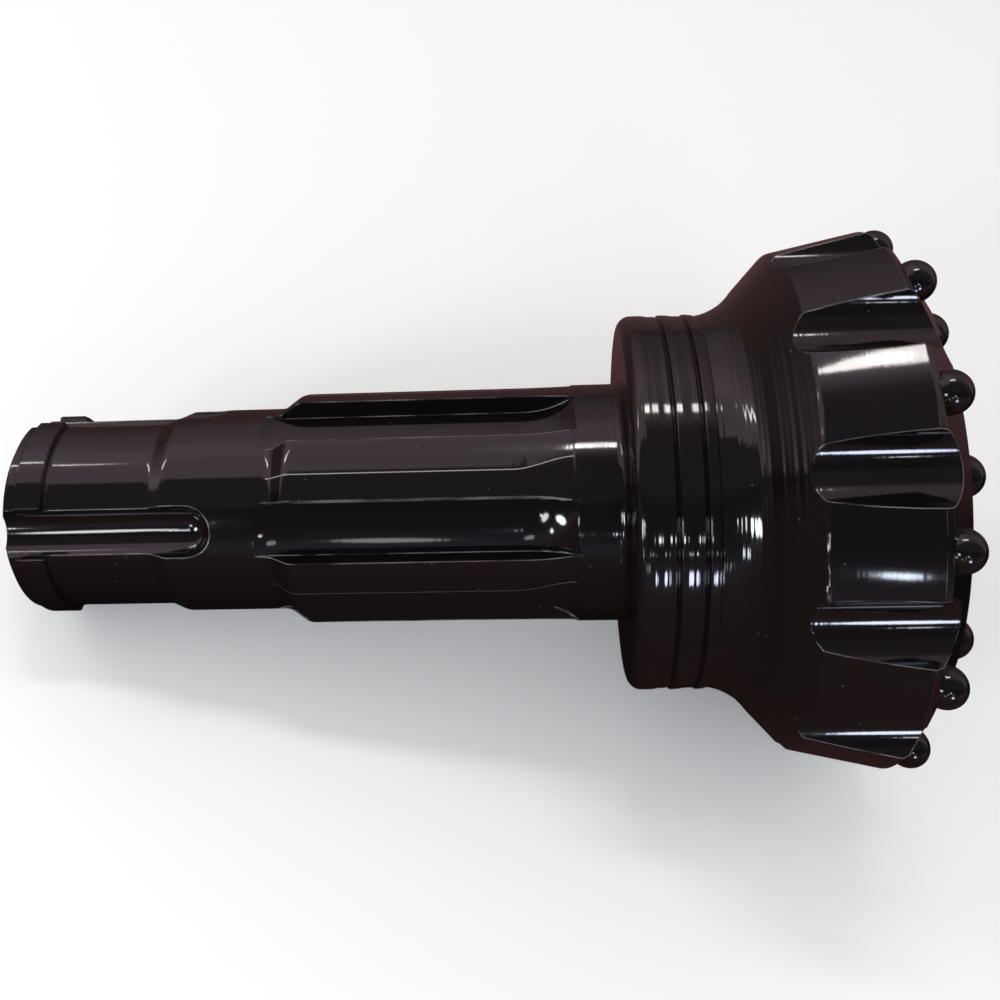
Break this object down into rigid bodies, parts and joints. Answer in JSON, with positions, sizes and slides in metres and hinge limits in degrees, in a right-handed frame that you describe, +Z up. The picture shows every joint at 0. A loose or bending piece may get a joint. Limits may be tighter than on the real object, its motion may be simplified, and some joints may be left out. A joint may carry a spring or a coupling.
{
  "type": "button drill bit",
  "caption": "Down-the-hole hammer drill bit: splined shank with slots and a foot valve seat, stepped collar, and a fluted head set with domed carbide buttons.",
  "frame": {"origin": "centre of the footprint on the floor that the bit lies on", "axes": "+X towards the head, level, +Z up; the bit's own axis rises by 10.89 degrees from the shank end to the face"},
  "size_m": [0.4474, 0.2502, 0.2457],
  "materials": {
    "body_paint": "gloss black paint",
    "button_paint": "gloss black paint over carbide"
  },
  "bodies": {
    "root": {"bit_body": "body_paint", "gauge_button_01": "button_paint", "gauge_button_02": "button_paint", "gauge_button_03": "button_paint", "gauge_button_04": "button_paint", "gauge_button_05": "button_paint", "gauge_button_06": "button_paint", "gauge_button_07": "button_paint", "gauge_button_08": "button_paint", "gauge_button_09": "button_paint", "gauge_button_10": "button_paint", "gauge_button_11": "button_paint", "gauge_button_12": "button_paint", "face_button_01": "button_paint", "face_button_02": "button_paint", "face_button_03": "button_paint", "face_button_04": "button_paint", "face_button_05": "button_paint", "face_button_06": "button_paint", "face_button_07": "button_paint", "face_button_08": "button_paint", "face_button_09": "button_paint", "face_button_10": "button_paint", "face_button_11": "button_paint", "face_button_12": "button_paint", "face_button_13": "button_paint", "face_button_14": "button_paint", "face_button_15": "button_paint", "face_button_16": "button_paint"}
  },
  "joints": []
}
